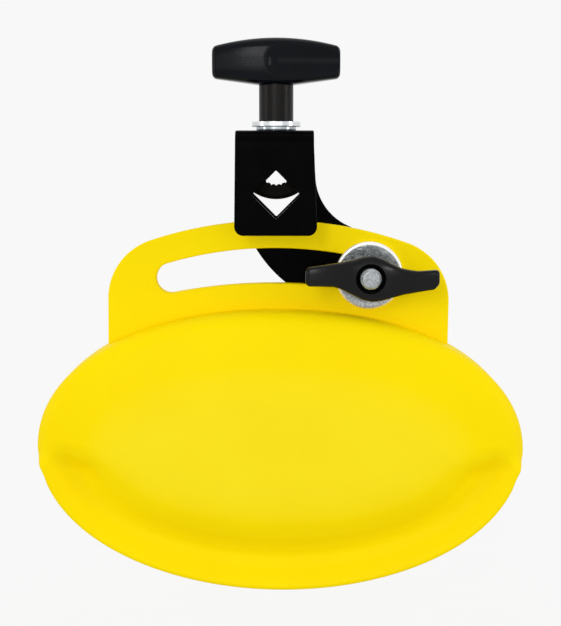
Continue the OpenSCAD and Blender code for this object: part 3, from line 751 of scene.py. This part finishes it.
grip_verts, grip_faces = grip_skin()
grip = new_object("grip_skin", grip_verts, grip_faces, PLASTIC, 50)
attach(grip, "tee_handle")
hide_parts("handle_grip")


# ---- Carriage bolt with its thread ----

def lathe(profile, steps, y_turn=0.0):
    """Rings round the bolt's axis from (radius, y) pairs; a radius may be a rule of the angle."""
    verts = []
    for radius, y in profile:
        for i in range(steps):
            a = 2 * math.pi * i / steps
            r = radius(a) if callable(radius) else radius
            verts.append((BOLT[0] + r * math.cos(a + y_turn), y, BOLT[1] + r * math.sin(a + y_turn)))
    return verts


def thread_radius(y, a):
    """Rolled M8 thread, pitch 1.25."""
    u = (y / 1.25 + a / (2 * math.pi)) % 1.0
    crest = abs(2 * u - 1)
    return 3.38 + 0.6 * min(1, max(0, (crest - 0.08) / 0.8))


def stud():
    steps = 72
    rows = []
    y = 11.2
    tip = -9.3
    while y > tip + 0.05:
        cut = max(0, (tip + 1.1 - y)) * 0.75
        rows.append((lambda a, y=y, cut=cut: min(thread_radius(y, a), 3.98 - cut), y))
        y -= 0.11
    rows += [(3.1, tip + 0.02), (2.6, tip), (0.05, tip)]
    return lathe(rows, steps), skin(len(rows), steps, True, True)


def bolt_head():
    """A domed head, its edge drawn in a little at the last step."""
    r, high, top, steps = 9.4, 4.2, 18.2, 23
    cap = (r ** 2 + high ** 2) / 2 / high
    rows = [(0.05, top)]
    for i in range(1, steps + 1):
        a = math.asin(r / cap) * i / steps
        tuck = 0.12 if i == steps else 0
        rows.append((cap * math.sin(a) - tuck, top - cap * (1 - math.cos(a)) + tuck))
    rows += [(9.3, 14.02), (9.1, 14.0), (4.1, 14.0)]
    return lathe(rows, 96), skin(len(rows), 96, True, True)


def square_neck():
    h, r = 4.2, 0.5
    loop = []
    for cx, cz, a in ((h - r, h - r, 0), (r - h, h - r, 90), (r - h, r - h, 180), (h - r, r - h, 270)):
        loop += arc((BOLT[0] + cx, BOLT[1] + cz), r, a, a + 90, 6)
    return slab(loop, [], 11.0, 14.1, 0.15, 2)


def joined(name, parts, material, angle=35):
    verts, faces = [], []
    for v, f in parts:
        faces += [tuple(i + len(verts) for i in face) for face in f]
        verts += v
    return new_object(name, verts, faces, material, angle)


bolt = joined("bolt_skin", [stud(), bolt_head(), square_neck()], ZINC, 40)
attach(bolt, "clamp")
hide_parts("carriage_bolt")


# ---- Wide washer with its rolled rim ----

def wide_washer():
    low, high = (corner[1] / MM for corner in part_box("wing_washer"))
    r = 13.0
    rows = [(4.5, low + 0.3), (4.8, low + 0.12), (11.3, low + 0.12), (11.7, low + 0.05), (12.2, low),
            (12.6, low + 0.1), (12.88, low + 0.35), (r, low + 0.7), (r, high - 0.5), (12.85, high - 0.15),
            (12.5, high), (4.8, high), (4.5, high - 0.3), (4.5, low + 0.3)]
    lift = 0.45  # it hangs off centre, by the play in its bore
    return [(x, y, z + lift) for x, y, z in lathe(rows, 144)], skin(len(rows), 144, False)


washer = joined("wide_washer_skin", [wide_washer()], ZINC, 60)
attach(washer, "wide_washer")
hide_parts("wing_washer")


# ---- Wing nut: rounded wings melted into the boss, with the recess cut last ----

WING_TOP = [(-24.9, 4.4), (-23.75, 4.83), (-18.2, 5.3), (-11.5, 6.0), (-5.8, 6.7), (-2.6, 7.5), (1.1, 7.9),
            (4.6, 6.8), (7.9, 5.2), (11.2, 3.9), (14.75, 3.3), (17.6, 3.1), (21.7, 3.6), (24.8, 4.1)]
WING_FOOT = [(-24.9, -1.6), (-23.5, -2.1), (-19.4, -2.4), (-13.9, -2.9), (-10.7, -4.0), (-7.6, -5.3),
             (-2.8, -7.4), (0.7, -8.1), (4.1, -7.8), (10.7, -6.25), (17.8, -4.5), (22.9, -3.3), (24.3, -2.0)]
WING_HALF, WING_ROUND = 24.85, 1.5


def wing_loft():
    """Rounded sections from tip to tip, leaning forwards away from the boss."""
    verts, sides, rings = [], 48, 140
    for i in range(rings):
        x = -WING_HALF * math.cos(math.pi * i / (rings - 1))
        e = max(0, abs(x) - (WING_HALF - WING_ROUND)) / WING_ROUND
        draw = WING_ROUND * (1 - math.sqrt(1 - min(1, e * e)))
        near = 0.55 * max(0, 1 - (x / 12) ** 2)
        top = float(np.interp(x, *zip(*WING_TOP))) + 0.3 + near - draw
        foot = float(np.interp(x, *zip(*WING_FOOT))) - 1.5 * near + draw
        front = -7.3 - 9.9 * (max(0, abs(x) - 3) / 21.9) ** 1.6 + draw
        back = -0.5 - 0.7265 * max(0, abs(x) - 7.8) - draw
        for k in range(sides):
            a = (k + 0.5) * 2 * math.pi / sides
            y = (front + back) / 2 + (back - front) / 2 * signed_power(math.cos(a), 0.5)
            z = (top + foot) / 2 + (top - foot) / 2 * signed_power(math.sin(a), 0.5)
            verts.append((BOLT[0] + x, y, BOLT[1] + z))
    return verts, skin(rings, sides)


def melted(obj, voxel, smooth, cutter):
    """One skin over overlapping shells, softened, with the cutter taken out of it."""
    melt = obj.modifiers.new("melt", "REMESH")
    melt.mode, melt.voxel_size = "VOXEL", voxel * MM
    soft = obj.modifiers.new("soft", "SMOOTH")
    soft.factor, soft.iterations = 0.5, smooth
    cut = obj.modifiers.new("cut", "BOOLEAN")
    cut.operation, cut.solver, cut.object = "DIFFERENCE", "EXACT", cutter
    bpy.context.view_layer.update()
    graph = bpy.context.evaluated_depsgraph_get()
    mesh = bpy.data.meshes.new_from_object(obj.evaluated_get(graph))
    obj.modifiers.clear()
    obj.data = mesh
    mesh.shade_smooth()
    mesh.set_sharp_from_angle(angle=math.radians(40))
    bpy.data.objects.remove(cutter)
    return obj


boss_rows = [(0.05, -6.8), (6.9, -6.8), (7.8, -5.8), (7.8, 3.3), (7.3, 3.8), (0.05, 3.8)]
cut_rows = [(0.05, -8.6), (5.7, -8.6), (5.7, -6.0), (4.15, -5.2), (4.15, 4.6), (0.05, 4.6)]
nut = joined("wing_nut_skin", [wing_loft(), (lathe(boss_rows, 72), skin(len(boss_rows), 72))], PAINT)
nut = melted(nut, 0.3, 7, new_object("nut_cutter", lathe(cut_rows, 96), skin(len(cut_rows), 96), PAINT))
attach(nut, "nut")
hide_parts("wing_nut")


# ---- Floor, backdrop and light ----

def seen_rays(tree):
    """1 for camera, glossy and transmission rays, which all see the same pale background."""
    ray = tree.nodes.new("ShaderNodeLightPath").outputs
    seen = ray["Is Camera Ray"]
    for kind in ("Is Glossy Ray", "Is Transmission Ray"):
        either = tree.nodes.new("ShaderNodeMath")
        either.operation = "MAXIMUM"
        tree.links.new(seen, either.inputs[0])
        tree.links.new(ray[kind], either.inputs[1])
        seen = either.outputs[0]
    return seen


def floor_material():
    s = Shader("floor")
    speck = s.noise(60, 3)
    shade = s.tree.nodes.new("ShaderNodeBsdfDiffuse")
    s.link(s.ramp(speck, (0.3, (0.14, 0.14, 0.14, 1)), (0.7, (0.15, 0.15, 0.15, 1))), shade.inputs[0])
    glow = s.tree.nodes.new("ShaderNodeEmission")
    glow.inputs[0].default_value = (1, 1, 1, 1)
    glow.inputs[1].default_value = 0.80
    both = s.tree.nodes.new("ShaderNodeAddShader")
    s.link(shade.outputs[0], both.inputs[0])
    s.link(glow.outputs[0], both.inputs[1])
    far = s.tree.nodes.new("ShaderNodeEmission")
    far.inputs[0].default_value = linear("F8F8F8")
    reach = s.tree.nodes.new("ShaderNodeVectorMath")
    reach.operation = "LENGTH"
    s.link(s.place, reach.inputs[0])
    fade = s.tree.nodes.new("ShaderNodeMixShader")
    s.link(s.span(reach.outputs["Value"], 0.2, 0.55, 0.0, 1.0), fade.inputs[0])
    s.link(both.outputs[0], fade.inputs[1])
    s.link(far.outputs[0], fade.inputs[2])
    s.set(Base_Color=(0.7, 0.7, 0.7, 1), Roughness=0.9)
    pick = s.tree.nodes.new("ShaderNodeMixShader")
    s.link(seen_rays(s.tree), pick.inputs[0])
    s.link(s.main.outputs[0], pick.inputs[1])
    s.link(fade.outputs[0], pick.inputs[2])
    s.link(pick.outputs[0], s.out.inputs[0])
    return s.material


FLOOR_DROP, FLOOR_HALF = 40.3, 3000  # the drop leaves the block room to swing down
lowest = min(v.co.z for shell in (front_shell, back_shell) for v in shell.data.vertices)
floor_z = lowest / MM - FLOOR_DROP
floor_verts = [(x * FLOOR_HALF, y * FLOOR_HALF, floor_z) for x, y in ((-1, -1), (1, -1), (1, 1), (-1, 1))]
floor = new_object("floor", floor_verts, [(0, 1, 2, 3)], floor_material())

world = bpy.data.worlds.new("studio")
scene.world = world
world.use_nodes = True
tree = world.node_tree
tree.nodes.clear()
world_out = tree.nodes.new("ShaderNodeOutputWorld")
soft = tree.nodes.new("ShaderNodeBackground")
soft.inputs[0].default_value = (1, 1, 1, 1)
soft.inputs[1].default_value = 0.79
plain = tree.nodes.new("ShaderNodeBackground")
plain.inputs[0].default_value = linear("F8F8F8")
plain.inputs[1].default_value = 1.0
pick = tree.nodes.new("ShaderNodeMixShader")
tree.links.new(seen_rays(tree), pick.inputs[0])
tree.links.new(soft.outputs[0], pick.inputs[1])
tree.links.new(plain.outputs[0], pick.inputs[2])
tree.links.new(pick.outputs[0], world_out.inputs[0])


def lamp(name, place, target, size, power):
    data = bpy.data.lights.new(name, "AREA")
    data.shape = "RECTANGLE"
    data.size, data.size_y = size
    data.energy = power
    obj = bpy.data.objects.new(name, data)
    obj.location = place
    obj.rotation_euler = (Vector(target) - Vector(place)).to_track_quat("-Z", "Y").to_euler()
    scene.collection.objects.link(obj)


lamp("key", (-0.35, -1.5, 0.45), (0, 0, 0.1), (0.34, 0.6), 4.0)
lamp("low", (0.0, -1.6, 0.12), (0, 0, -0.08), (1.8, 0.45), 2.0)
lamp("top", (0.0, 0.2, 1.5), (0, 0, -0.05), (1.6, 1.2), 2.8)
for side in (-1, 1):  # the right one a little stronger, across from the key
    lamp("side", (1.5 * side, -0.49, 0.22), (0, 0, -0.05), (0.3, 0.6), 2.6 + 0.5 * side)
